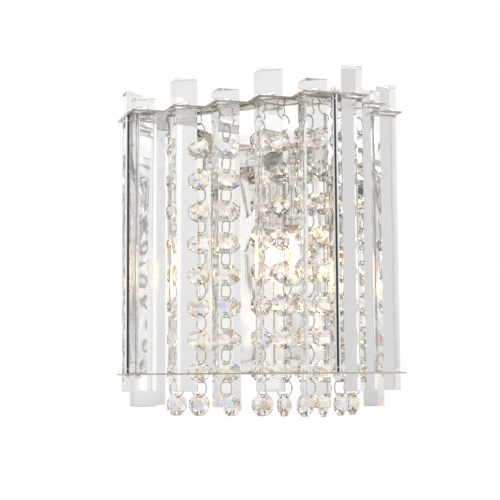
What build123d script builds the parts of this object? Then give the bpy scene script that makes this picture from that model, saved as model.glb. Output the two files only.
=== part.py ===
"""Crystal wall sconce: two zigzag chrome plates hold upright glass prisms, strings of linked
octagon beads hang inside them, and two lamps sit behind the beads. Millimetres, +Z up, front -Y.
The origin is on the wall plane, at the middle of the back plate."""

import os
from math import cos, radians, sin, sqrt

from build123d import *

# zigzag plates
tooth_pitch = 30.0  # from one tooth point to the next
front_teeth = 5
side_teeth = 3
plate_depth = 103.5  # from the wall to the front tooth points
rear_setback = 13.5  # from the wall to the rearmost tooth points
plate_thick = 1.0
plate_spread = 170.0  # upper face of the top plate to lower face of the bottom plate
top_strip = 35.0  # width of the top plate's strips, tooth points to inner edge
bottom_strip = 19.0  # width of the bottom plate's strips
rear_strip = 6.0  # the bottom plate's bar along the back plate
wall_gap = 0.5  # between the plates' rear tips and the wall
rear_lip = 1.7  # plate left beside the rearmost prisms

# back plate: a shallow tray, open to the wall
tray_depth = 10.0
tray_wall = 1.2
tray_corner = 1.5
tray_gap = 0.3  # between the tray's sides and the plates' rear tips

# wall strap and its studs
strap_length = 116.0
strap_height = 24.0
strap_thick = 1.5
strap_hole = 4.5
strap_hole_spread = 70.0
feed_hole = 12.0
stud_dia = 4.0
stud_spread = 90.0
stud_clearance = 0.2
wire_hole = 8.0

# tie rods at the two front corners
rod_dia = 3.5
rod_inset = 2.4  # from the slanted corner edge to the rod's axis
rod_stud_dia = 2.4
rod_stud_clearance = 0.1
nut_dia = 6.0
nut_height = 3.8

# glass prisms: three-sided rods, square corner outward
prism_face = 20.0  # width of the flat inner face
prism_inset = 4.0  # from a tooth point to the prism's outer corner
prism_length = 198.0
high_rise = 17.5  # above the top plate
low_rise = 8.0
prism_fit = 0.3  # play in the plates' three-sided holes
pin_dia = 2.0
pin_length = 14.0
pin_setback = 4.0  # from the prism's outer corner to the pin
pin_fit = 0.2

# bead strings
bead_width = 14.0  # across the flats of the octagon
bead_thick = 6.0
bead_table = 8.0  # across the flats of the flat face
bead_hole_spacing = 10.2  # from the upper hole to the lower one
bead_hole = 1.7
ring_radius = 5.6  # to the middle of the wire
top_ring_radius = 4.1  # of the ring that hangs in the top plate
ring_wire = 0.8
ring_seat_depth = 0.3  # from a hole's middle to the middle of the wire that bears in it
ring_play = 0.1  # between the two top rings
beads_per_string = 9
string_setback = 1.5  # from the top plate's inner edge to a string's axis
string_hole = 2.8
string_seat = 0.2  # under the top ring's crown
front_string_shares = (-1.55, -1.0, -0.22, 0.5, 1.0, 1.467)  # of a tooth pitch, from the middle
front_twists = (-38.0, -50.0, -35.0, -50.0, -15.0, -26.0)
side_string_shares = (0.0, 2 / 3)  # of a side tooth's pitch, behind the middle side tooth
side_twists = (40.0, 15.0)
corner_twist = -40.0

# lamps
lamp_spread = 52.0
lamp_setback = 60.0  # behind the front tooth points
channel_length = 72.0
channel_depth = 20.0
channel_height = 12.0
channel_top = 62.0
sheet = 1.2
arm_width = 24.0
arm_leg = 20.0
sleeve_dia = 16.0
sleeve_wall = 1.0
sleeve_end = 10.5
socket_height = 20.0
socket_recess = 1.5
socket_play = 0.2
lamp_pin_spread = 9.0
lamp_pin_dia = 2.0
lamp_pin_length = 10.0
lamp_pin_play = 0.3
base_width = 12.0
base_depth = 6.0
base_height = 7.0
base_gap = 0.3
bulb_dia = 13.0
bulb_length = 30.0

# angle brackets between the plates and the back plate
bracket_width = 8.0
bracket_leg = 6.0
bracket_inset = 1.7  # from the back plate's side to the bracket

# sides of the many-sided solids that stand for small round parts
round_sides = 16
tube_sides = 24

# ---- places that follow from the sizes ----
top_z = plate_spread / 2
bottom_z = -plate_spread / 2
front_y = -plate_depth
tray_y = -tray_depth
half_tooth = tooth_pitch / 2
front_xs = [(i - (front_teeth - 1) / 2) * tooth_pitch for i in range(front_teeth)]
side_x = front_xs[-1] + tooth_pitch
side_pitch = (plate_depth - rear_setback) / side_teeth
side_ys = [front_y + (j + 1) * side_pitch for j in range(side_teeth)]
tip_x = side_x - (rear_setback - wall_gap)
rear_x = side_x - prism_inset - prism_face / 2 - prism_fit - rear_lip
tray_half = rear_x - tray_gap
bracket_x = tray_half - bracket_inset - bracket_width / 2
lamp_y = front_y + lamp_setback
prism_half = prism_face / 2


def zigzag():
    """Corner points of a plate's outer edge, anticlockwise from the front left tooth."""
    front = []
    for x in front_xs[:-1]:
        front += [(x, front_y), (x + half_tooth, front_y + half_tooth)]
    front += [(front_xs[-1], front_y)]
    right = []
    for y in side_ys[:-1]:
        right += [(side_x, y), (side_x - half_tooth, y + side_pitch / 2)]
    right += [(side_x, side_ys[-1]), (tip_x, -wall_gap), (rear_x, -wall_gap), (rear_x, tray_y)]
    left = [(-x, y) for x, y in reversed(right)]
    return front + right + left


# prism places: (name, x, y, turn, rise)
prism_spots = []
for i, x in enumerate(front_xs):
    rise = high_rise if i % 2 else low_rise
    prism_spots.append((f"front_prism_{i + 1}", x, front_y + prism_inset, 0, rise))
for side, sign in (("left", -1), ("right", 1)):
    for j, y in enumerate(side_ys):
        rise = low_rise if j % 2 else high_rise
        x = sign * (side_x - prism_inset)
        prism_spots.append((f"{side}_prism_{j + 1}", x, y, 90 * sign, rise))

# heights in a string, down from the middle of its top ring, and the hole for that ring
crown = top_z + string_seat + ring_wire / 2
string_top = crown - top_ring_radius
ring_drop = top_ring_radius + ring_radius - ring_wire - ring_play
first_bead = ring_drop + ring_radius - ring_seat_depth + bead_hole_spacing / 2
period = bead_hole_spacing + 2 * ring_radius - 2 * ring_seat_depth
string_hole_offset = top_ring_radius * sqrt(2) - (top_z - plate_thick / 2 - string_top)

# string places: (x, y, turn of the top ring, twist of the beads below it)
edge_y = front_y + top_strip - string_setback
edge_x = side_x - top_strip + string_setback
corner = string_setback / sqrt(2)
string_spots = [(share * tooth_pitch, edge_y, 0, twist)
                for share, twist in zip(front_string_shares, front_twists)]
side_string_ys = [side_ys[side_teeth // 2] + share * side_pitch for share in side_string_shares]
corner_x = side_x - top_strip + corner
corner_y = front_y + top_strip - corner
string_spots += [(corner_x, corner_y, 45, corner_twist)]
string_spots += [(edge_x, y, 90, t) for y, t in zip(side_string_ys, side_twists)]

rod_x = (front_xs[-1] + side_x) / 2 - rod_inset / sqrt(2)
rod_y = (front_y + side_ys[0]) / 2 + rod_inset / sqrt(2)
rod_spots = [(-rod_x, rod_y), (rod_x, rod_y)]

pieces = []

# ---- zigzag plates ----
with BuildSketch() as prism_slot:
    Polygon((0, 0), (prism_half, prism_half), (-prism_half, prism_half), align=None)
    offset(amount=prism_fit, kind=Kind.INTERSECTION)

prism_places = [Location((x, y, 0), (0, 0, turn)) for _, x, y, turn, _ in prism_spots]

with BuildPart() as top_frame:
    with BuildSketch(Plane.XY.offset(top_z - plate_thick)):
        with BuildLine():
            Polyline(*zigzag(), close=True)
        make_face()
        with Locations((0, tray_y)):
            Rectangle(2 * (side_x - top_strip), tray_y - front_y - top_strip,
                      align=(Align.CENTER, Align.MAX), mode=Mode.SUBTRACT)
        with Locations(*prism_places):
            add(prism_slot.sketch, mode=Mode.SUBTRACT)
        with Locations(*rod_spots):
            RegularPolygon(rod_stud_dia / 2 + rod_stud_clearance, round_sides,
                           major_radius=False, mode=Mode.SUBTRACT)
        for x, y, turn, _ in string_spots:
            out_x = x + string_hole_offset * sin(radians(turn))
            out_y = y - string_hole_offset * cos(radians(turn))
            with Locations((out_x, out_y)):
                RegularPolygon(string_hole / 2, 8, major_radius=False, mode=Mode.SUBTRACT)
    extrude(amount=plate_thick)
top_frame.part.label = "top_frame"
pieces.append(top_frame.part)

with BuildPart() as bottom_frame:
    with BuildSketch(Plane.XY.offset(bottom_z)):
        with BuildLine():
            Polyline(*zigzag(), close=True)
        make_face()
        with Locations((0, tray_y - rear_strip)):
            Rectangle(2 * (side_x - bottom_strip), tray_y - rear_strip - front_y - bottom_strip,
                      align=(Align.CENTER, Align.MAX), mode=Mode.SUBTRACT)
        with Locations(*prism_places):
            add(prism_slot.sketch, mode=Mode.SUBTRACT)
        with Locations(*rod_spots):
            RegularPolygon(rod_stud_dia / 2 + rod_stud_clearance, round_sides,
                           major_radius=False, mode=Mode.SUBTRACT)
    extrude(amount=plate_thick)
bottom_frame.part.label = "bottom_frame"
pieces.append(bottom_frame.part)

# ---- back plate: tray with folded rims, two stud holes and the wire hole ----
with BuildPart() as back_plate:
    with BuildSketch(Plane.XZ):
        RectangleRounded(2 * tray_half, plate_spread, tray_corner)
    extrude(amount=tray_depth)
    with BuildSketch(Plane.XZ):
        Rectangle(2 * (tray_half - tray_wall), plate_spread - 2 * tray_wall)
    extrude(amount=tray_depth - tray_wall, mode=Mode.SUBTRACT)
    with BuildSketch(Plane.XZ):
        with GridLocations(stud_spread, 1, 2, 1):
            Circle(stud_dia / 2 + stud_clearance)
        with Locations((0, channel_top - arm_leg / 2)):
            Circle(wire_hole / 2)
    extrude(amount=tray_depth, mode=Mode.SUBTRACT)
back_plate.part.label = "back_plate"
pieces.append(back_plate.part)

# ---- wall strap, with the two studs that carry the back plate ----
with BuildPart() as wall_strap:
    with BuildSketch(Plane.XZ):
        SlotOverall(strap_length, strap_height)
        Circle(feed_hole / 2, mode=Mode.SUBTRACT)
        with GridLocations(strap_hole_spread, 1, 2, 1):
            Circle(strap_hole / 2, mode=Mode.SUBTRACT)
    extrude(amount=strap_thick)
wall_strap.part.label = "wall_strap"
pieces.append(wall_strap.part)

stud_length = tray_depth + nut_height * 0.75
with BuildPart() as strap_studs:
    with BuildSketch(Plane.XZ.offset(strap_thick)):
        with GridLocations(stud_spread, 1, 2, 1):
            RegularPolygon(stud_dia / 2, round_sides)
    extrude(amount=stud_length - strap_thick)
strap_studs.part.label = "strap_studs"
pieces.append(strap_studs.part)

# cap nuts on the studs: six-sided, bevelled, with a blind bore
stud_bore = stud_length - tray_depth
nut_slope = nut_height - stud_bore + stud_dia / 2
with BuildPart() as stud_nut:
    with BuildSketch():
        RegularPolygon(stud_dia, 6, major_radius=False)
    extrude(amount=stud_bore + nut_slope)
    nut_end = stud_nut.faces().sort_by(Axis.Z)[-1]
    chamfer(nut_end.edges(), nut_slope * 0.6, nut_slope, reference=nut_end)
    with BuildSketch():
        RegularPolygon(stud_dia / 2 + stud_clearance / 2, round_sides, major_radius=False)
    extrude(amount=stud_bore, mode=Mode.SUBTRACT)

with BuildPart() as stud_cap_nuts:
    with Locations(*[Location((x, tray_y, 0), (90, 0, 0)) for x in (-stud_spread / 2, stud_spread / 2)]):
        add(stud_nut.part)
stud_cap_nuts.part.label = "stud_cap_nuts"
pieces.append(stud_cap_nuts.part)

# ---- tie rods: a shouldered rod at each front corner ----
rod_stud = plate_thick + nut_height / 2 - rod_stud_clearance
with BuildPart() as tie_rods:
    for x, y in rod_spots:
        with BuildSketch(Plane((x, y, bottom_z + plate_thick))):
            RegularPolygon(rod_dia / 2, round_sides)
        extrude(amount=plate_spread - 2 * plate_thick)
        with BuildSketch(Plane((x, y, bottom_z + plate_thick - rod_stud))):
            RegularPolygon(rod_stud_dia / 2, round_sides)
        extrude(amount=plate_spread - 2 * plate_thick + 2 * rod_stud)
tie_rods.part.label = "tie_rods"
pieces.append(tie_rods.part)


# cap nuts on the rods' studs: bevelled, with a blind bore, on the plates' outer faces
with BuildPart() as rod_nut:
    with BuildSketch():
        RegularPolygon(nut_dia / 2, round_sides)
    extrude(amount=nut_height)
    nut_end = rod_nut.faces().sort_by(Axis.Z)[-1]
    chamfer(nut_end.edges(), nut_dia / 4, nut_height / 2, reference=nut_end)
    with BuildSketch():
        RegularPolygon(rod_stud_dia / 2 + rod_stud_clearance, round_sides, major_radius=False)
    extrude(amount=nut_height / 2, mode=Mode.SUBTRACT)

for name, z, flip in (("upper_cap_nuts", top_z, 0), ("lower_cap_nuts", bottom_z, 180)):
    with BuildPart() as cap_nuts:
        with Locations(*[Location((x, y, z), (flip, 0, 0)) for x, y in rod_spots]):
            add(rod_nut.part)
    cap_nuts.part.label = name
    pieces.append(cap_nuts.part)

# ---- angle brackets in the four rear corners ----
with BuildPart() as frame_brackets:
    for x in (-bracket_x, bracket_x):
        for z, up in ((top_z - plate_thick, -1), (bottom_z + plate_thick, 1)):
            with BuildSketch(Plane(origin=(x, tray_y, z), x_dir=(0, -1, 0), z_dir=(-1, 0, 0))):
                with BuildLine():
                    leg = up * bracket_leg
                    wall = up * sheet
                    Polyline((0, 0), (bracket_leg, 0), (bracket_leg, wall), (sheet, wall),
                             (sheet, leg), (0, leg), close=True)
                make_face()
            extrude(amount=bracket_width / 2, both=True)
frame_brackets.part.label = "frame_brackets"
pieces.append(frame_brackets.part)

# ---- glass prisms, each with a cross hole for its pin ----
for name, x, y, turn, rise in prism_spots:
    base = Plane(Location((x, y, top_z + rise - prism_length), (0, 0, turn)))
    across = Plane(Location((x, y, top_z + pin_dia / 2), (0, 0, turn)))
    pin_plane = Plane(origin=across.origin, x_dir=across.y_dir, z_dir=across.x_dir)
    with BuildPart() as prism:
        with BuildSketch(base):
            Polygon((0, 0), (prism_half, prism_half), (-prism_half, prism_half), align=None)
        extrude(amount=prism_length)
        with BuildSketch(pin_plane):
            with Locations((pin_setback, 0)):
                RegularPolygon(pin_dia / 2 + pin_fit, 6, major_radius=False)
        extrude(amount=prism_half, both=True, mode=Mode.SUBTRACT)
    prism.part.label = name
    pieces.append(prism.part)

# pins that carry the prisms on the top plate
with BuildPart() as prism_pins:
    for _, x, y, turn, _ in prism_spots:
        across = Plane(Location((x, y, top_z + pin_dia / 2), (0, 0, turn)))
        pin_plane = Plane(origin=across.origin, x_dir=across.y_dir, z_dir=across.x_dir)
        with BuildSketch(pin_plane):
            with Locations((pin_setback, 0)):
                RegularPolygon(pin_dia / 2, 6, major_radius=False)
        extrude(amount=pin_length / 2, both=True)
prism_pins.part.label = "prism_pins"
pieces.append(prism_pins.part)

# ---- one octagon bead: cut down to a bevel on both sides of its girdle, a hole near each end ----
bevel_in = (bead_width - bead_table) / 2
bevel_up = bead_thick / 2
with BuildPart() as bead:
    with BuildSketch(Plane.YZ):
        RegularPolygon(bead_width / 2, 8, major_radius=False, rotation=22.5)
    extrude(amount=bead_thick / 2, both=True)
    for k in range(8):
        way = Vector(0, cos(radians(45 * k)), sin(radians(45 * k)))
        for side in (-1, 1):
            facet = Plane(origin=way * (bead_width / 2), z_dir=way * bevel_up + (side * bevel_in, 0, 0))
            split(bisect_by=facet, keep=Keep.BOTTOM)
    with BuildSketch(Plane.YZ):
        with GridLocations(1, bead_hole_spacing, 1, 2):
            Rectangle(bead_hole, bead_hole)
    extrude(amount=bead_thick, both=True, mode=Mode.SUBTRACT)

# ---- one jump ring: an eight-sided loop, mitred at its corners, of three-sided wire ----
ring_corner = 1 / cos(radians(22.5))
loops = []
for radius in (ring_radius, top_ring_radius):
    inner = (radius - ring_wire / 2) * ring_corner
    outer = (radius + ring_wire / 2) * ring_corner
    with BuildPart() as ring:
        for k in range(8):
            for angle in (45 * k - 22.5, 45 * k + 22.5):
                out = (cos(radians(angle)), 0, sin(radians(angle)))
                along = (-sin(radians(angle)), 0, cos(radians(angle)))
                with BuildSketch(Plane(origin=(0, 0, 0), x_dir=out, z_dir=along)):
                    Polygon((inner, -ring_wire / 2), (outer, 0), (inner, ring_wire / 2),
                            align=None)
            loft(ruled=True)
    loops.append(ring.part)
chain_ring, top_ring = loops

# ---- bead strings ----
bead_places = [(0, 0, -first_bead - period * k) for k in range(beads_per_string)]
ring_places = [(0, 0, -ring_drop - period * k) for k in range(beads_per_string)]

with BuildPart() as bead_chain:
    with Locations(*bead_places):
        add(bead.part)

with BuildPart() as ring_chain:
    with Locations(*ring_places):
        add(chain_ring)

for n, (x, y, turn, twist) in enumerate(string_spots, 1):
    with BuildPart() as string_beads:
        with Locations(Location((x, y, string_top), (0, 0, turn + twist))):
            add(bead_chain.part)
    string_beads.part.label = f"string_{n}_beads"
    pieces.append(string_beads.part)
    with BuildPart() as string_rings:
        with Locations(Location((x, y, string_top), (0, 0, turn + 90))):
            add(top_ring)
        with Locations(Location((x, y, string_top), (0, 0, turn + twist))):
            add(ring_chain.part)
    string_rings.part.label = f"string_{n}_rings"
    pieces.append(string_rings.part)

# ---- lamps: arm, channel, sleeves, sockets and plug-in bulbs ----
lamp_xs = (-lamp_spread / 2, lamp_spread / 2)

with BuildPart() as lamp_arm:
    with BuildSketch(Plane(origin=(0, tray_y, channel_top), x_dir=(0, -1, 0), z_dir=(-1, 0, 0))):
        with BuildLine():
            reach = tray_y - (lamp_y - channel_depth / 2)
            Polyline((0, sheet), (reach, sheet), (reach, 0), (sheet, 0), (sheet, -arm_leg),
                     (0, -arm_leg), close=True)
        make_face()
    extrude(amount=arm_width / 2, both=True)
    with BuildSketch(Plane.XZ):
        with Locations((0, channel_top - arm_leg / 2)):
            Circle(wire_hole / 2)
    extrude(amount=tray_depth + 2 * sheet, mode=Mode.SUBTRACT)
lamp_arm.part.label = "lamp_arm"
pieces.append(lamp_arm.part)

with BuildPart() as lamp_channel:
    with BuildSketch(Plane(origin=(0, lamp_y, channel_top), x_dir=(0, -1, 0), z_dir=(-1, 0, 0))):
        with Locations((0, -channel_height / 2)):
            Rectangle(channel_depth, channel_height)
        with Locations((0, -channel_height / 2 - sheet)):
            Rectangle(channel_depth - 2 * sheet, channel_height, mode=Mode.SUBTRACT)
    extrude(amount=channel_length / 2, both=True)
lamp_channel.part.label = "lamp_channel"
pieces.append(lamp_channel.part)

sleeve_top = channel_top - sheet
with BuildPart() as lamp_sleeves:
    for x in lamp_xs:
        with BuildSketch(Plane((x, lamp_y, sleeve_end))):
            RegularPolygon(sleeve_dia / 2, tube_sides)
            RegularPolygon(sleeve_dia / 2 - sleeve_wall, tube_sides, mode=Mode.SUBTRACT)
        extrude(amount=sleeve_top - sleeve_end)
lamp_sleeves.part.label = "lamp_sleeves"
pieces.append(lamp_sleeves.part)

socket_z = sleeve_end + socket_recess
with BuildPart() as lamp_sockets:
    for x in lamp_xs:
        with BuildSketch(Plane((x, lamp_y, socket_z))):
            RegularPolygon(sleeve_dia / 2 - sleeve_wall - socket_play, tube_sides)
        extrude(amount=socket_height)
        with BuildSketch(Plane((x, lamp_y, socket_z))):
            with GridLocations(lamp_pin_spread, 1, 2, 1):
                RegularPolygon(lamp_pin_dia / 2 + lamp_pin_play, 8, major_radius=False)
        extrude(amount=lamp_pin_length + 2 * lamp_pin_play, mode=Mode.SUBTRACT)
lamp_sockets.part.label = "lamp_sockets"
pieces.append(lamp_sockets.part)

base_z = socket_z - base_gap - base_height
for side, x in (("left", lamp_xs[0]), ("right", lamp_xs[1])):
    with BuildPart() as bulb_base:
        with BuildSketch(Plane((x, lamp_y, base_z))):
            Rectangle(base_width, base_depth)
        extrude(amount=base_height)
        with BuildSketch(Plane((x, lamp_y, base_z + base_height))):
            with GridLocations(lamp_pin_spread, 1, 2, 1):
                RegularPolygon(lamp_pin_dia / 2, 8)
        extrude(amount=lamp_pin_length)
    bulb_base.part.label = f"{side}_bulb_base"
    pieces.append(bulb_base.part)
    with BuildPart() as bulb:
        with BuildSketch(Plane((x, lamp_y, base_z - bulb_length))):
            RegularPolygon(bulb_dia / 2, tube_sides)
        extrude(amount=bulb_length)
        tip = bulb.faces().sort_by(Axis.Z)[0]
        chamfer(tip.edges(), bulb_dia * 0.27, bulb_dia / 2, reference=tip)
        neck = bulb.faces().sort_by(Axis.Z)[-1]
        chamfer(neck.edges(), bulb_dia * 0.1, bulb_dia / 4, reference=neck)
    bulb.part.label = f"{side}_bulb"
    pieces.append(bulb.part)

os.makedirs("parts", exist_ok=True)
for piece in pieces:
    export_step(piece, f"parts/{piece.label}.step")
print(len(pieces), "nodes")
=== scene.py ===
"""The looks of the crystal wall sconce. Metres, +Z up, front -Y, the wall at Y = 0."""

from math import cos, pi, radians, sin, sqrt, tau

import bmesh
import bpy
from mathutils import Matrix, Vector


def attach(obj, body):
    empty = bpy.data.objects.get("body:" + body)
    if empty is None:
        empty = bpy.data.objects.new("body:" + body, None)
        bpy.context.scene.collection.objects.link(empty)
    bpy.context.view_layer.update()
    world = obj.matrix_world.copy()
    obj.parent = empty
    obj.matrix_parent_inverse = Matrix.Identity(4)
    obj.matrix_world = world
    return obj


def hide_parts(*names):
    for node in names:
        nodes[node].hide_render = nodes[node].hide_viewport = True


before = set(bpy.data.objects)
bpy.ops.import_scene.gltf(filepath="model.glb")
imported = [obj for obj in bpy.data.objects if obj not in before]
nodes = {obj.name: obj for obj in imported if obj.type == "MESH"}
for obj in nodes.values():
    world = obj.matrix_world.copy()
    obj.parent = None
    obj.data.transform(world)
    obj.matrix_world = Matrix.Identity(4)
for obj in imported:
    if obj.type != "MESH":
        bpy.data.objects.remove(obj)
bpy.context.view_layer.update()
mm = 0.001

# ---- sizes, as in the part's source ----
tooth_pitch, plate_depth, plate_thick, plate_spread = 30 * mm, 103.5 * mm, 1 * mm, 170 * mm
front_teeth, side_teeth, half_tooth = 5, 3, tooth_pitch / 2
top_z, bottom_z, front_y = plate_spread / 2, -plate_spread / 2, -plate_depth
side_x = 90 * mm  # the side teeth's points
first_side_y = front_y + tooth_pitch
top_strip = 35 * mm  # width of the top plate's strips
tray_depth = 10 * mm
strap_thick = 1.5 * mm
stud_dia, stud_length, stud_spread = 4 * mm, 12.85 * mm, 90 * mm
rod_dia, rod_stud_dia = 3.5 * mm, 2.4 * mm
rod_inset = 2.4 * mm  # from the middle of the plates' slanted corner edge
rod_x, rod_y = side_x - half_tooth - rod_inset / sqrt(2), front_y + half_tooth + rod_inset / sqrt(2)
prism_inset, pin_setback = 4 * mm, 4 * mm  # from a tooth's point to its prism, and on to the pin
pin_inset = prism_inset + pin_setback
pin_dia, pin_length = 2 * mm, 14 * mm
bead_width, bead_thick, bead_holes = 14 * mm, 6 * mm, 10.2 * mm
ring_radius, top_ring_radius, ring_wire = 5.6 * mm, 4.1 * mm, 0.8 * mm
ring_seat, ring_play, string_seat = 0.3 * mm, 0.1 * mm, 0.2 * mm
beads_per_string = 9
lamp_x, lamp_setback = 26 * mm, 60 * mm
lamp_y = front_y + lamp_setback
base_z = 4.7 * mm  # a bulb's glass hangs from here
stud_xs = (-stud_spread / 2, stud_spread / 2)


# ---- node trees ----
class Value:
    """A number that a tree's nodes work out. The usual operators add Math nodes."""

    def __init__(self, tree, socket):
        self.tree, self.socket = tree, socket

    def _maths(self, operation, *terms):
        return self.tree.node("ShaderNodeMath", {"operation": operation}, dict(enumerate(terms)))

    def __add__(self, other):
        return self._maths("ADD", self, other)

    def __mul__(self, other):
        return self._maths("MULTIPLY", self, other)

    def __pow__(self, other):
        return self._maths("POWER", self, other)

    def above(self, other):
        return self._maths("GREATER_THAN", self, other)

    __radd__ = __add__


class Tree:
    """A node tree. Each new node's inputs take numbers or the Values of other nodes."""

    def __init__(self, tree):
        self.tree = tree

    def node(self, kind, settings=None, values=None, output=0):
        """Adds a node and gives one of its outputs as a Value."""
        node = self.tree.nodes.new(kind)
        for key, value in (settings or {}).items():
            setattr(node, key, value)
        for key, value in (values or {}).items():
            self.feed(node.inputs[key], value)
        return Value(self, node.outputs[output])

    def feed(self, socket, value):
        if isinstance(value, Value):
            self.tree.links.new(value.socket, socket)
        else:
            socket.default_value = value

    def ramp(self, factor, *stops):
        """A colour ramp through (place, colour) stops, where a plain number is a grey."""
        result = self.node("ShaderNodeValToRGB", values={"Fac": factor})
        elements = result.socket.node.color_ramp.elements
        for place, _ in stops[2:]:
            elements.new(place)
        for element, (place, colour) in zip(elements, stops):
            rgb = colour if isinstance(colour, tuple) else (colour, colour, colour)
            element.position, element.color = place, (*rgb, 1)
        return result

    def mix(self, factor, a, b, blend="MIX"):
        return self.node("ShaderNodeMix", {"data_type": "RGBA", "blend_type": blend},
                         {"Factor": factor, "A": a, "B": b}, output=2)


class Finish(Tree):
    """A material round a Principled shader, with constants on the shader's own sockets."""

    def __init__(self, name, **fixed):
        self.material = bpy.data.materials.new(name)
        self.material.use_nodes = True
        super().__init__(self.material.node_tree)
        self.shader = self.tree.nodes["Principled BSDF"]
        self.set(**fixed)

    def set(self, **values):
        for socket, value in values.items():
            self.feed(self.shader.inputs[socket.replace("_", " ")], value)

    def place(self, stretch=(1, 1, 1), turn=(0, 0, 0)):
        coords = self.node("ShaderNodeTexCoord", output="Object")
        return self.node("ShaderNodeMapping", values={"Vector": coords, "Scale": stretch,
                                                      "Rotation": turn})

    def noise(self, scale, detail=3, stretch=(1, 1, 1), turn=(0, 0, 0)):
        return self.node("ShaderNodeTexNoise", values={"Vector": self.place(stretch, turn),
                                                       "Scale": scale, "Detail": detail})

    def spangle(self, scale):
        """A random number for each cell of a pattern of cells."""
        cells = self.node("ShaderNodeTexVoronoi", values={"Vector": self.place(), "Scale": scale},
                          output="Color")
        return self.node("ShaderNodeSeparateColor", values={"Color": cells})

    def bump(self, height, depth):
        return self.node("ShaderNodeBump", values={"Height": height, "Distance": depth,
                                                   "Strength": 1.0})

    def facing(self):
        """0 where the surface looks along the ray, rising to 1 at its rim."""
        return self.node("ShaderNodeLayerWeight", values={"Blend": 0.5}, output="Facing")


# ---- finishes ----
hairline = (1, 1, 0.03)  # stretches a noise into lines along Z


def polished(name, pale, dark, roughness, wave):
    """Plated or polished metal: faint smudges, hairline scratches and a trace of unevenness."""
    metal = Finish(name, Metallic=1.0)
    smudge = metal.noise(55, 4)
    hairs = metal.noise(900, 2, hairline, (0.4, 0.2, 0.7))
    metal.set(Base_Color=metal.ramp(smudge, (0.3, dark), (0.75, pale)),
              Roughness=roughness + (smudge ** 2) * (roughness * 1.5) + hairs.above(0.68) * 0.06,
              Normal=metal.bump(metal.noise(22, 2) + hairs * 0.02, wave))
    return metal


def cut_glass(name, ior, depth, stops, **fixed):
    """Clear glass: its surface has a faint wave from polishing, and its tint drifts a little."""
    glass = Finish(name, Transmission_Weight=1.0, IOR=ior, **fixed)
    glass.set(Base_Color=glass.ramp(glass.noise(40, 2), *stops),
              Roughness=glass.noise(240, 3).above(0.72) * 0.015,
              Normal=glass.bump(glass.noise(65, 1, (1, 1, 0.25)), depth))
    return glass


plate_mirror = polished("polished_plate", (0.62, 0.58, 0.53), (0.40, 0.36, 0.31), 0.03, 0.00008)
tray_mirror = polished("rippled_plate", (0.97, 0.95, 0.92), (0.93, 0.90, 0.86), 0.05, 0.0007)
chrome = polished("chrome", (0.86, 0.87, 0.88), (0.76, 0.77, 0.79), 0.04, 0.00001)
ring_metal = polished("nickel_wire", (0.70, 0.66, 0.60), (0.50, 0.46, 0.41), 0.10, 0.00001)

zinc = Finish("zinc_coat", Metallic=1.0)
zinc.set(Base_Color=zinc.ramp(zinc.noise(70), (0.3, (0.60, 0.62, 0.63)),
                              (0.7, (0.78, 0.78, 0.74))),
         Roughness=0.26 + zinc.spangle(260) * 0.2,
         Normal=zinc.bump(zinc.noise(1400, 2), 0.00003))

# the rods' colour is dark where they face the camera and pale at their rims: a painted reflection
# of something dark in front of them
rod_chrome_painted_reflection = Finish("rod_chrome_painted_reflection", Metallic=1.0)
rod_chrome_painted_reflection.set(Base_Color=rod_chrome_painted_reflection.ramp(rod_chrome_painted_reflection.facing(), (0.0, 0.05), (0.05, 0.12),
                                          (0.15, 0.92)),
               Roughness=0.05 + rod_chrome_painted_reflection.noise(500, 3) * 0.05,
               Normal=rod_chrome_painted_reflection.bump(rod_chrome_painted_reflection.noise(900, 2, hairline), 0.00001))

# the lamps' metal has a painted reflection in its colour: a pale room where it faces the camera,
# going dark brown towards its rims
lamp_nickel_painted_reflection = Finish("lamp_nickel_painted_reflection", Metallic=1.0)
mottle = lamp_nickel_painted_reflection.noise(90, 5) * 0.05
lamp_nickel_painted_reflection.set(Base_Color=lamp_nickel_painted_reflection.ramp(lamp_nickel_painted_reflection.facing() * 0.95 + mottle,
                                            (0.0, (0.97, 0.96, 0.94)), (0.25, (0.90, 0.88, 0.84)),
                                            (0.50, (0.20, 0.17, 0.13)), (0.75, (0.34, 0.28, 0.21)),
                                            (1.0, (0.12, 0.10, 0.08))),
                Roughness=0.07 + lamp_nickel_painted_reflection.noise(700, 3) * 0.05,
                Normal=lamp_nickel_painted_reflection.bump(lamp_nickel_painted_reflection.noise(160, 2), 0.00002))

# painted light: the glass glows faintly though it is no lamp, standing in for what is lost on the
# way through many pieces of it
prism_glass = cut_glass("prism_glass", 1.5, 0.00003, [(0.3, (0.965, 0.97, 0.968)), (0.7, 0.985)],
                        Emission_Strength=0.02)
prism_glass.set(Emission_Color=prism_glass.ramp(prism_glass.noise(30, 2),
                                                (0.3, (0.95, 0.95, 0.96)),
                                                (0.7, (1.0, 0.98, 0.96))))

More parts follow.
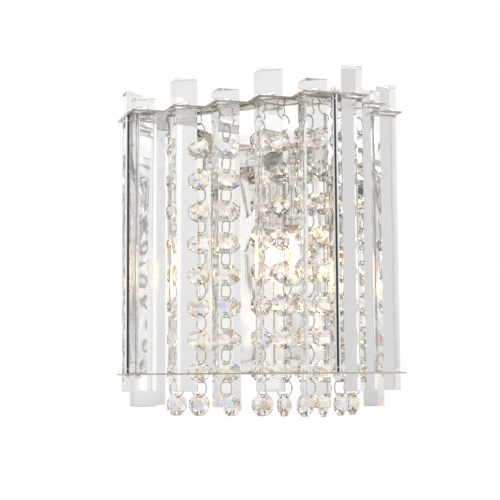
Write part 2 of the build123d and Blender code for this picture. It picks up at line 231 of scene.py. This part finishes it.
# each facet has its own random number: by it most facets are clear and some are tinted golden, blue
# or brown as painted glints; the crystal also glows faintly though it is no lamp, which is painted
# light
bead_glass = Finish("bead_crystal", Transmission_Weight=1.0, IOR=1.58, Emission_Strength=0.01)
painted_glint = bead_glass.node("ShaderNodeAttribute", {"attribute_name": "painted_glint"}, output="Fac")
bead_glass.set(Base_Color=bead_glass.ramp(painted_glint, (0.0, (1.0, 0.99, 0.95)),
                                          (0.44, (1.0, 0.99, 0.96)), (0.54, (0.98, 0.70, 0.36)),
                                          (0.62, (1.0, 0.97, 0.91)), (0.68, (0.56, 0.68, 1.0)),
                                          (0.73, (1.0, 0.98, 0.94)), (0.83, (0.55, 0.34, 0.14)),
                                          (0.89, (1.0, 0.96, 0.88)), (0.97, (0.90, 0.86, 1.0))),
               Emission_Color=bead_glass.ramp(painted_glint, (0.4, (1.0, 0.95, 0.88)),
                                              (0.8, (1.0, 0.80, 0.55))),
               Roughness=bead_glass.noise(500, 2).above(0.7) * 0.02,
               Normal=bead_glass.bump(bead_glass.noise(160, 1), 0.00003))

bulb_glass = cut_glass("bulb_glass", 1.46, 0.00005,
                       [(0.3, (0.98, 0.96, 0.92)), (0.7, (1.0, 0.99, 0.97))],
                       Emission_Strength=0.9)
bulb_glass.set(Emission_Color=bulb_glass.ramp(bulb_glass.facing(), (0.0, (1.0, 0.74, 0.40)),
                                              (0.5, (0.80, 0.48, 0.18)),
                                              (1.0, (0.22, 0.10, 0.03))))

ceramic = Finish("ceramic", IOR=1.5)
ceramic.set(Base_Color=ceramic.ramp(ceramic.noise(600, 4), (0.35, (0.74, 0.72, 0.66)),
                                    (0.65, (0.86, 0.85, 0.80))),
            Roughness=0.38 + ceramic.noise(300) * 0.2,
            Normal=ceramic.bump(ceramic.noise(1600, 3), 0.00005))

glow = Finish("lamp_glow", Roughness=0.5, Emission_Strength=3.2)
glow.set(Base_Color=glow.ramp(glow.noise(300), (0.3, (0.9, 0.85, 0.75)), (0.7, (1.0, 0.95, 0.88))),
         Emission_Color=glow.ramp(glow.facing() + glow.noise(260, 2) * 0.2,
                                  (0.1, (1.0, 0.56, 0.20)), (0.5, (0.95, 0.50, 0.14)),
                                  (0.95, (0.50, 0.22, 0.04))))


# ---- making pieces ----
def finished(name, mesh, body, finish, slot, *stood_for, sharp=32):
    """Puts a mesh into the scene as one piece of the object. Edges over sharp degrees are hard."""
    mesh.name = name
    mesh.materials.clear()
    mesh.materials.append(finish.material)
    mesh.polygons.foreach_set("use_smooth", [True] * len(mesh.polygons))
    mesh.set_sharp_from_angle(angle=radians(sharp))
    piece = bpy.data.objects.new(name, mesh)
    bpy.context.scene.collection.objects.link(piece)
    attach(piece, body)
    if stood_for:
        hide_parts(*stood_for)


def as_mesh(shape):
    """The mesh of a bmesh, which is freed."""
    mesh = bpy.data.meshes.new("shape")
    shape.to_mesh(mesh)
    shape.free()
    return mesh


def outward(shape):
    """The mesh of a bmesh, with its faces pointing outwards."""
    bmesh.ops.recalc_face_normals(shape, faces=shape.faces)
    return as_mesh(shape)


def with_modifier(mesh, kind, settings):
    """The mesh after a modifier. A Nodes modifier's inputs go by their sockets' identifiers."""
    holder = bpy.data.objects.new("holder", mesh)
    bpy.context.scene.collection.objects.link(holder)
    modifier = holder.modifiers.new(kind.lower(), kind)
    for key, value in settings.items():
        if kind == "NODES" and key != "node_group":
            modifier[key] = value
        else:
            setattr(modifier, key, value)
    done = bpy.data.meshes.new_from_object(
        holder.evaluated_get(bpy.context.evaluated_depsgraph_get()))
    bpy.data.objects.remove(holder)
    return done


def carved(mesh, tool, operation):
    """The mesh after a Boolean with another mesh."""
    cutter = bpy.data.objects.new("cutter", tool)
    bpy.context.scene.collection.objects.link(cutter)
    done = with_modifier(mesh, "BOOLEAN", {"operation": operation, "object": cutter})
    bpy.data.objects.remove(cutter)
    return done


def merged(node, long_edge=None):
    """A copy of a CAD node's mesh with its triangles joined into whole faces. Edges longer than
    long_edge are marked for a full bevel, the others for a third of it."""
    shape = bmesh.new()
    shape.from_mesh(nodes[node].data)
    bmesh.ops.remove_doubles(shape, verts=shape.verts, dist=0.01 * mm)
    bmesh.ops.dissolve_limit(shape, angle_limit=radians(1.0), verts=shape.verts, edges=shape.edges)
    if long_edge:
        weight = shape.edges.layers.float.new("bevel_weight_edge")
        for edge in shape.edges:
            edge[weight] = 1.0 if edge.calc_length() > long_edge else 0.3
    return as_mesh(shape)


def eased(node, name, body, finish, slot, width):
    """A CAD node's shape with its edges slightly rounded, as the real ones are."""
    mesh = with_modifier(merged(node), "BEVEL", {"width": width, "segments": 2,
                                                 "limit_method": "ANGLE",
                                                 "angle_limit": radians(35)})
    finished(name, mesh, body, finish, slot, node, sharp=40)


def turned(profile, steps=40):
    """A round mesh about Z from (radius, height) points, the first and last on the axis or the
    same."""
    shape = bmesh.new()
    rows = []
    for radius, height in profile:
        if radius < 1e-7:
            rows.append([shape.verts.new((0, 0, height))])
        else:
            rows.append([shape.verts.new((radius * cos(tau * k / steps),
                                          radius * sin(tau * k / steps), height))
                         for k in range(steps)])
    for low, high in zip(rows, rows[1:]):
        for k in range(steps):
            corners = [low[k % len(low)], low[(k + 1) % len(low)],
                       high[(k + 1) % len(high)], high[k % len(high)]]
            corners = list(dict.fromkeys(corners))
            if len(corners) > 2:
                shape.faces.new(corners)
    return outward(shape)


def in_mm(*points):
    """Points given in millimetres."""
    return [tuple(number * mm for number in point) for point in points]


def curve(width, height, angles, centre=(0, 0)):
    """Points of an ellipse in the (radius, height) plane, at angles in degrees."""
    return [(centre[0] + width * cos(radians(a)), centre[1] + height * sin(radians(a)))
            for a in angles]


def joined(*meshes):
    """One mesh of several; each may be a mesh or (mesh, place)."""
    shape = bmesh.new()
    for item in meshes:
        mesh, place = item if isinstance(item, tuple) else (item, None)
        if place is not None:
            mesh = mesh.copy()
            mesh.transform(place)
        shape.from_mesh(mesh)
    return as_mesh(shape)


def at(x, y, z, tilt=0.0):
    """A place: tilted about X by an angle in degrees, then moved."""
    return Matrix.Translation((x, y, z)) @ Matrix.Rotation(radians(tilt), 4, "X")


# ---- the rule behind every row: a shape set out at equal steps along a line ----
row_tree = bpy.data.node_groups.new("row", "GeometryNodeTree")
row_inputs = {}
for label, kind, default in (("Shape", "Geometry", None), ("Start", "Vector", None),
                             ("Step", "Vector", None), ("Count", "Int", 1),
                             ("Turn", "Float", 0.0), ("Sway", "Float", 0.0),
                             ("Flip", "Bool", False), ("Seed", "Int", 1),
                             ("Finish", "Material", None)):
    socket = row_tree.interface.new_socket(label, in_out="INPUT", socket_type="NodeSocket" + kind)
    row_inputs[label] = socket.identifier
    if default is not None:
        socket.default_value = default
row_tree.interface.new_socket("Row", in_out="OUTPUT", socket_type="NodeSocketGeometry")
rule = Tree(row_tree)
asked = row_tree.nodes.new("NodeGroupInput")


def wanted(label):
    return Value(rule, asked.outputs[label])


def chance(seed, low=0.0, high=1.0):
    """A random number for each point or face."""
    return rule.node("FunctionNodeRandomValue", {"data_type": "FLOAT"},
                     {2: low, 3: high, "Seed": seed}, 1)


spots = rule.node("GeometryNodeMeshLine", {"mode": "OFFSET"},
                  {"Count": wanted("Count"), "Start Location": wanted("Start"),
                   "Offset": wanted("Step")})
sway = chance(wanted("Seed"), -1.0, 1.0) * wanted("Sway")
half_turn = chance(wanted("Seed") + 40.0).above(0.5) * wanted("Flip") * pi
around_z = rule.node("ShaderNodeCombineXYZ", values={"Z": wanted("Turn") + sway + half_turn})
spin = rule.node("FunctionNodeEulerToRotation", values={"Euler": around_z})
set_out = rule.node("GeometryNodeInstanceOnPoints", values={
    "Points": spots, "Instance": wanted("Shape"), "Rotation": spin})
real = rule.node("GeometryNodeRealizeInstances", values={"Geometry": set_out})
# each face gets a random number, which the bead crystal's colour turns into painted glints
painted_glint_faces = rule.node("GeometryNodeStoreNamedAttribute", {"data_type": "FLOAT", "domain": "FACE"},
                 {"Geometry": real, "Name": "painted_glint", "Value": chance(wanted("Seed"))})
coated = rule.node("GeometryNodeSetMaterial", values={"Geometry": painted_glint_faces,
                                                      "Material": wanted("Finish")})
rule.feed(row_tree.nodes.new("NodeGroupOutput").inputs[0], coated)


def row(shape, start, step, count, turn=0.0, seed=1, finish=chrome, sway=0.0, flip=False):
    """A mesh of count copies of the shape, from start in equal steps. Turn and sway in degrees."""
    return with_modifier(shape, "NODES", {
        "node_group": row_tree, row_inputs["Start"]: start, row_inputs["Step"]: step,
        row_inputs["Count"]: count, row_inputs["Turn"]: radians(turn),
        row_inputs["Sway"]: radians(sway), row_inputs["Flip"]: flip, row_inputs["Seed"]: seed,
        row_inputs["Finish"]: finish.material})


def pair(shape, x, y, z=0.0):
    """A mesh of two copies of the shape, at -x and at x."""
    return row(shape, (-x, y, z), (2 * x, 0, 0), 2)


# ---- zigzag plates, back plate and sheet-metal parts ----
eased("top_frame", "top_plate", "sconce", plate_mirror, "chrome", 0.12 * mm)
eased("bottom_frame", "bottom_plate", "sconce", plate_mirror, "chrome", 0.12 * mm)
eased("back_plate", "back_tray", "sconce", tray_mirror, "mirror_plate", 0.25 * mm)
eased("frame_brackets", "corner_angles", "sconce", chrome, "chrome", 0.15 * mm)
eased("wall_strap", "mounting_strap", "sconce", zinc, "zinc_steel", 0.2 * mm)
eased("lamp_channel", "lamp_channel_cover", "sconce", lamp_nickel_painted_reflection, "lamp_metal", 0.3 * mm)
eased("lamp_arm", "lamp_bracket", "sconce", lamp_nickel_painted_reflection, "lamp_metal", 0.2 * mm)


# ---- studs and cap nuts ----
def threads(dia, length, pitch=0.7 * mm):
    """A bolt's thread as a row of ridges up Z, with a plain core."""
    core = dia / 2 * 0.88
    ridge = turned([(0, -pitch / 2), (core, -pitch / 2), (dia / 2, 0), (core, pitch / 2),
                    (0, pitch / 2)], 20)
    return row(ridge, (0, 0, pitch / 2), (0, 0, pitch), int(length / pitch), finish=zinc)


def acorn_nut(flats, skirt, dome, height):
    """A hexagon nut with turned-down corners under a round dome, standing up Z."""
    hexagon = bmesh.new()
    corners = flats / sqrt(3)
    low = [hexagon.verts.new((corners * cos(tau * k / 6), corners * sin(tau * k / 6), 0))
           for k in range(6)]
    top = [hexagon.verts.new((v.co.x, v.co.y, skirt)) for v in low]
    hexagon.faces.new(low)
    hexagon.faces.new(top)
    for k in range(6):
        hexagon.faces.new([low[k], low[(k + 1) % 6], top[(k + 1) % 6], top[k]])
    fall = (corners - flats / 2) * 0.6
    turned_down = turned([(0, 0), (flats / 2, 0), (corners, fall), (corners, skirt - fall),
                          (flats / 2, skirt), (0, skirt)], 48)
    body = carved(outward(hexagon), turned_down, "INTERSECT")
    sunk = skirt - 0.2 * mm  # the dome's foot, inside the hexagon
    cap = turned([(0, sunk), (dome, sunk), (dome, skirt)]
                 + curve(dome, height - skirt, range(10, 90, 10), (0, skirt)) + [(0, height)], 32)
    return joined(body, cap)


stud = threads(stud_dia, stud_length - strap_thick)
studs = joined(*[(stud, at(x, -strap_thick, 0, tilt=90)) for x in stud_xs])
finished("threaded_studs", studs, "sconce", zinc, "zinc_steel", "strap_studs", sharp=60)

stud_nut = acorn_nut(flats=8 * mm, skirt=2.85 * mm, dome=3.4 * mm, height=5.8 * mm)
stud_nuts = joined(*[(stud_nut, at(x, -tray_depth, 0, tilt=90)) for x in stud_xs])
finished("stud_acorn_nuts", stud_nuts, "sconce", chrome, "chrome", "stud_cap_nuts")

# round knobs on the rods: a flat skirt, a step and a low dome
knob = turned(in_mm((0, 0), (2.7, 0), (3, 0.3), (3, 1.5), (2.75, 1.75))
              + curve(2.7 * mm, 2 * mm, range(0, 90, 10), (0, 1.8 * mm)) + in_mm((0, 3.8)), 40)
finished("upper_rod_knobs", pair(knob, rod_x, rod_y, top_z), "sconce", chrome, "chrome",
         "upper_cap_nuts")
knob.transform(Matrix.Rotation(pi, 4, "X"))
finished("lower_rod_knobs", pair(knob, rod_x, rod_y, bottom_z), "sconce", chrome, "chrome",
         "lower_cap_nuts")

# ---- tie rods: a groove near each end, and a thinner stud in each knob ----
rod_low, rod_high = bottom_z + plate_thick, top_z - plate_thick
rod_r, stud_r = rod_dia / 2, rod_stud_dia / 2
rod_chamfer, rod_groove, rod_stud_length = 0.15 * mm, rod_r - 0.2 * mm, 2.7 * mm
rod_end = [(0, -rod_stud_length), (stud_r, -rod_stud_length), (stud_r, 0),
           (rod_r - rod_chamfer, 0), (rod_r, rod_chamfer), (rod_r, 2.5 * mm),
           (rod_groove, 2.7 * mm), (rod_groove, 3.3 * mm), (rod_r, 3.5 * mm)]
rod = turned([(radius, rod_low + height) for radius, height in rod_end]
             + [(radius, rod_high - height) for radius, height in reversed(rod_end)], 40)
finished("corner_rods", pair(rod, rod_x, rod_y), "sconce", rod_chrome_painted_reflection, "chrome", "tie_rods")

# ---- glass prisms with ground edges, on round-ended pins ----
prisms = ([f"front_prism_{k}" for k in range(1, front_teeth + 1)]
          + [f"{side}_prism_{k}" for side in ("left", "right") for k in range(1, side_teeth + 1)])
for node in prisms:
    mesh = with_modifier(merged(node, 100 * mm), "BEVEL", {
        "width": 0.3 * mm, "segments": 1, "limit_method": "WEIGHT"})
    finished(node + "_cut", mesh, "sconce", prism_glass, "prism_glass", node, sharp=15)

pin_r, half_pin, pin_taper = pin_dia / 2, pin_length / 2, 0.5 * mm
pin = turned([(0, -half_pin), (0.6 * pin_r, -half_pin), (pin_r, -half_pin + pin_taper),
              (pin_r, half_pin - pin_taper), (0.6 * pin_r, half_pin), (0, half_pin)], 24)
pin.transform(Matrix.Rotation(pi / 2, 4, "Y"))
pin_z = top_z + pin_r
front_pins = row(pin, (-(front_teeth - 1) / 2 * tooth_pitch, front_y + pin_inset, pin_z),
                 (tooth_pitch, 0, 0), front_teeth)
side_pins = [row(pin, (side * (side_x - pin_inset), first_side_y, pin_z), (0, tooth_pitch, 0),
                 side_teeth, 90) for side in (-1, 1)]
finished("prism_cross_pins", joined(front_pins, *side_pins), "sconce", chrome, "chrome",
         "prism_pins")


# ---- bead strings ----
def octagon_bead():
    """One two-hole octagon bead in YZ: a small table in front, a shallow point behind."""
    shape = bmesh.new()
    table_r, girdle_r = 2.8 * mm / cos(pi / 8), bead_width / 2 / cos(pi / 8)
    girdle, half = 0.35 * mm, bead_thick / 2

    def ring_of(radius, height, shift):
        return [shape.verts.new((height, radius * cos(tau / 8 * (k + shift)),
                                 radius * sin(tau / 8 * (k + shift)))) for k in range(8)]

    table = ring_of(table_r, half, 0.5)
    crown = ring_of(5.75 * mm, 1.65 * mm, 0)
    front_girdle = ring_of(girdle_r, girdle, 0.5)
    back_girdle = ring_of(girdle_r, -girdle, 0.5)
    pavilion = ring_of(4.2 * mm, -1.64 * mm, 0)
    point = shape.verts.new((-half, 0, 0))
    shape.faces.new(table)
    for k in range(8):  # the crown
        before, after = k - 1, (k + 1) % 8
        shape.faces.new([table[before], table[k], crown[k]])
        shape.faces.new([crown[k], table[k], crown[after]])
        shape.faces.new([crown[k], crown[after], front_girdle[k]])
        shape.faces.new([crown[k], front_girdle[k], front_girdle[before]])
    for k in range(8):  # the girdle and the pavilion
        before, after = k - 1, (k + 1) % 8
        shape.faces.new([front_girdle[k], front_girdle[after], back_girdle[after], back_girdle[k]])
        shape.faces.new([point, pavilion[k], back_girdle[k], pavilion[after]])
        shape.faces.new([pavilion[k], back_girdle[before], back_girdle[k]])
    drill = turned(in_mm((0, -5), (2.1, -5), (2.1, -3), (0.85, -0.3), (0.85, 0.3), (2.1, 3),
                         (2.1, 5), (0, 5)), 8)  # a hole, countersunk on both sides
    drill.transform(Matrix.Rotation(pi / 2, 4, "Y"))
    drills = joined((drill, at(0, 0, -bead_holes / 2)), (drill, at(0, 0, bead_holes / 2)))
    return carved(outward(shape), drills, "DIFFERENCE")


def jump_ring(radius, joint=20.0, slit=4.0, steps=28, sides=8):
    """A loop of round wire in XZ. Its two ends are slit degrees apart, joint degrees above the
    side."""
    shape = bmesh.new()
    wire_r = ring_wire / 2
    rows = []
    for k in range(steps + 1):
        angle = radians(joint + slit / 2 + (360 - slit) * k / steps)
        out = Vector((cos(angle), 0, sin(angle)))
        rows.append([shape.verts.new(out * (radius + wire_r * cos(tau * j / sides))
                                     + Vector((0, wire_r * sin(tau * j / sides), 0)))
                     for j in range(sides)])
    for near, far in zip(rows, rows[1:]):
        for j in range(sides):
            shape.faces.new([near[j], near[(j + 1) % sides], far[(j + 1) % sides], far[j]])
    shape.faces.new(rows[0])
    shape.faces.new(rows[-1])
    return outward(shape)


# heights in a string, down from the middle of its top ring
string_top = top_z + string_seat + ring_wire / 2 - top_ring_radius
ring_drop = top_ring_radius + ring_radius - ring_wire - ring_play
first_bead = ring_drop + ring_radius - ring_seat + bead_holes / 2
period = bead_holes + 2 * (ring_radius - ring_seat)

# string places: (x, y, turn of the top ring, of the beads, of the links), angles in degrees
string_setback = 1.5 * mm  # from the top plate's inner edge
edge_x, edge_y = side_x - top_strip + string_setback, front_y + top_strip - string_setback
corner = string_setback / sqrt(2)
string_spots = [(share * tooth_pitch, edge_y, 0, beads, links) for share, beads, links in
                ((-1.55, -38, -8), (-1.0, -42, -12), (-0.22, -35, -5), (0.5, -50, -40),
                 (1.0, -15, -10), (1.467, -26, -45))]
string_spots += [(side_x - top_strip + corner, front_y + top_strip - corner, 45, 5, 0)]
string_spots += [(edge_x, first_side_y + tooth_pitch * share, 90, beads, links)
                 for share, beads, links in ((1, -10, -29), (5 / 3, -12, 3))]
bead_sway, link_sway = 7, 6

bead, ring, top_ring = octagon_bead(), jump_ring(ring_radius), jump_ring(top_ring_radius)
down = (0, 0, -period)
for n, (x, y, top_turn, bead_turn, link_turn) in enumerate(string_spots, 1):
    beads = row(bead, (x, y, string_top - first_bead), down, beads_per_string, bead_turn, n,
                bead_glass, bead_sway, flip=True)
    finished(f"string_{n}_crystals", beads, f"string_{n}", bead_glass, "bead_glass",
             f"string_{n}_beads", sharp=3)
    links = joined(row(top_ring, (x, y, string_top), down, 1, top_turn + 90),
                   row(ring, (x, y, string_top - ring_drop), down, beads_per_string, link_turn,
                       n, ring_metal, link_sway))
    finished(f"string_{n}_links", links, f"string_{n}", ring_metal, "ring_wire",
             f"string_{n}_rings", sharp=50)

# ---- lamps: sleeves with a rolled foot, sockets, capsules ----
sleeve_r, sleeve_bore, sleeve_low, sleeve_high = 8 * mm, 7 * mm, 10.5 * mm, 60.8 * mm
sleeve_groove = sleeve_r - 0.25 * mm
roll_r = (sleeve_r - sleeve_bore) / 2
inner_foot = (sleeve_bore, sleeve_low + 0.6 * mm)
sleeve = turned([inner_foot]
                + curve(roll_r, roll_r, range(180, 361, 30),
                        (sleeve_bore + roll_r, sleeve_low + roll_r))
                + [(sleeve_r, sleeve_low + 4 * mm), (sleeve_groove, sleeve_low + 4.3 * mm),
                   (sleeve_groove, sleeve_low + 5 * mm), (sleeve_r, sleeve_low + 5.3 * mm),
                   (sleeve_r, sleeve_high), (sleeve_bore, sleeve_high), inner_foot], 48)
finished("candle_sleeves", pair(sleeve, lamp_x, lamp_y), "sconce", lamp_nickel_painted_reflection, "lamp_metal",
         "lamp_sleeves")
eased("lamp_sockets", "socket_inserts", "sconce", ceramic, "ceramic", 0.2 * mm)

# a capsule hangs from its base: a pinched shoulder, a round tube and a drawn tip
capsule_r, tube_end = 6.4 * mm, -22 * mm
envelope = turned(in_mm((0, 0), (4.6, 0), (5.2, -0.6), (5.6, -2.6), (6.3, -4.2))
                  + [(capsule_r, -5.5 * mm), (capsule_r, tube_end)]
                  + curve(capsule_r, -6.2 * mm, range(10, 80, 10), (0, tube_end))
                  + in_mm((1.3, -28.4), (0.9, -29.2), (0.5, -29.8), (0, -30)), 40)
burner = turned(in_mm((0, -4), (0.9, -4.1), (1.1, -6), (2.1, -8.5), (2.5, -11), (2.6, -16),
                      (2.2, -20), (1.2, -23.4), (0, -24.4)), 32)
for side, x in (("left", -lamp_x), ("right", lamp_x)):
    body = f"{side}_lamp"
    place = at(x, lamp_y, base_z)
    eased(f"{side}_bulb_base", f"{side}_capsule_base", body, ceramic, "ceramic", 0.25 * mm)
    finished(f"{side}_capsule_glass", joined((envelope, place)), body, bulb_glass, "bulb_glass",
             f"{side}_bulb", sharp=60)
    finished(f"{side}_capsule_burner", joined((burner, place)), body, glow, "bulb_glass",
             sharp=60)

# ---- floor: pale paper, which the camera sees a little brighter ----
paper = Finish("studio_floor", Roughness=0.9)
paper.set(Base_Color=paper.ramp(paper.noise(14, 4), (0.3, 0.86), (0.7, 0.88)))
lit = Value(paper, paper.shader.outputs[0])
lift = paper.node("ShaderNodeEmission", values={"Color": (1, 1, 1, 1), "Strength": 0.25})
lifted = paper.node("ShaderNodeAddShader", values={0: lit, 1: lift})
seen = paper.node("ShaderNodeLightPath", output="Is Camera Ray")
paper.feed(paper.tree.nodes["Material Output"].inputs["Surface"],
           paper.node("ShaderNodeMixShader", values={"Fac": seen, 1: lit, 2: lifted}))
floor_radius, floor_z = 14, -0.6
disc = bmesh.new()
bmesh.ops.create_circle(disc, cap_ends=True, segments=96, radius=floor_radius)
bmesh.ops.translate(disc, verts=disc.verts, vec=(0, 0, floor_z))
floor_mesh = as_mesh(disc)
floor_mesh.materials.append(paper.material)
floor = bpy.data.objects.new("studio_floor", floor_mesh)
bpy.context.scene.collection.objects.link(floor)

# ---- the room that glass and metal mirror; the camera itself sees white ----
world = bpy.data.worlds.new("studio")
bpy.context.scene.world = world
world.use_nodes = True
sky = Tree(world.node_tree)
way = sky.node("ShaderNodeTexCoord", output="Generated")


def along(direction):
    """How far a ray points in this direction, from -1 to 1."""
    return sky.node("ShaderNodeVectorMath", {"operation": "DOT_PRODUCT"},
                    {0: way, 1: direction}, output="Value")


to_camera, to_left = (0.44, -0.89, 0.08), (-1.0, 0.0, 0.0)
tall = sky.node("ShaderNodeSeparateXYZ", values={"Vector": way}, output="Z")
around = sky.ramp(along(to_camera) * 0.5 + 0.5, (0.0, 0.80), (0.12, 0.78), (0.19, 0.60),
                  (0.28, 0.78), (0.50, 1.0), (0.86, 0.96), (0.94, 0.84), (0.98, 0.66))
height = sky.ramp(tall * 0.5 + 0.5, (0.30, (0.48, 0.45, 0.42)), (0.46, (0.26, 0.24, 0.22)),
                  (0.495, 0.92), (0.60, 1.0), (1.0, 1.0))
panel = sky.ramp(along(to_left), (0.86, 0.0), (0.95, (0.28, 0.26, 0.23)))
room = sky.mix(1.0, sky.mix(1.0, around, height, "MULTIPLY"), panel, "ADD")
path = sky.node("ShaderNodeLightPath", output="Is Camera Ray")
background = world.node_tree.nodes["Background"]
sky.feed(background.inputs["Color"], sky.mix(path, room, (1, 1, 1, 1)))
background.inputs["Strength"].default_value = 1.0


# ---- lights and camera ----
def soft_light(name, place, aim, size, power):
    lamp = bpy.data.lights.new(name, "AREA")
    lamp.shape, lamp.size, lamp.energy = "DISK", size, power
    light = bpy.data.objects.new(name, lamp)
    light.location = place
    light.rotation_mode = "QUATERNION"
    light.rotation_quaternion = (Vector(aim) - Vector(place)).to_track_quat("-Z", "Y")
    bpy.context.scene.collection.objects.link(light)


soft_light("key_light", (-1.2, -1.5, 1.6), (0, -0.05, 0), 1.2, 12)
soft_light("side_light", (1.7, 0.3, 1.5), (0, -0.05, 0), 1.0, 8)

psi, pitch, roll = radians(26.362), radians(5.4928), radians(-0.38095)
camera_place = (0.37156, -0.80576, -0.08542)
focal_length, picture_width, sensor_width = 1300, 500, 36  # pixels, pixels, mm
ahead = Vector((-sin(psi) * cos(pitch), cos(psi) * cos(pitch), sin(pitch)))
right = Vector((cos(psi), sin(psi), 0))
up = right.cross(ahead)
level = right * cos(roll) + up * sin(roll)
upright = up * cos(roll) - right * sin(roll)
lens = bpy.data.cameras.new("camera")
lens.sensor_width, lens.lens = sensor_width, sensor_width * focal_length / picture_width
lens.clip_start, lens.clip_end = 0.05, 60
camera = bpy.data.objects.new("camera", lens)
camera.matrix_world = Matrix.Translation(camera_place) @ Matrix(
    (level, upright, -ahead)).transposed().to_4x4()
bpy.context.scene.collection.objects.link(camera)
bpy.context.scene.camera = camera
bpy.context.scene.view_settings.view_transform = "Standard"
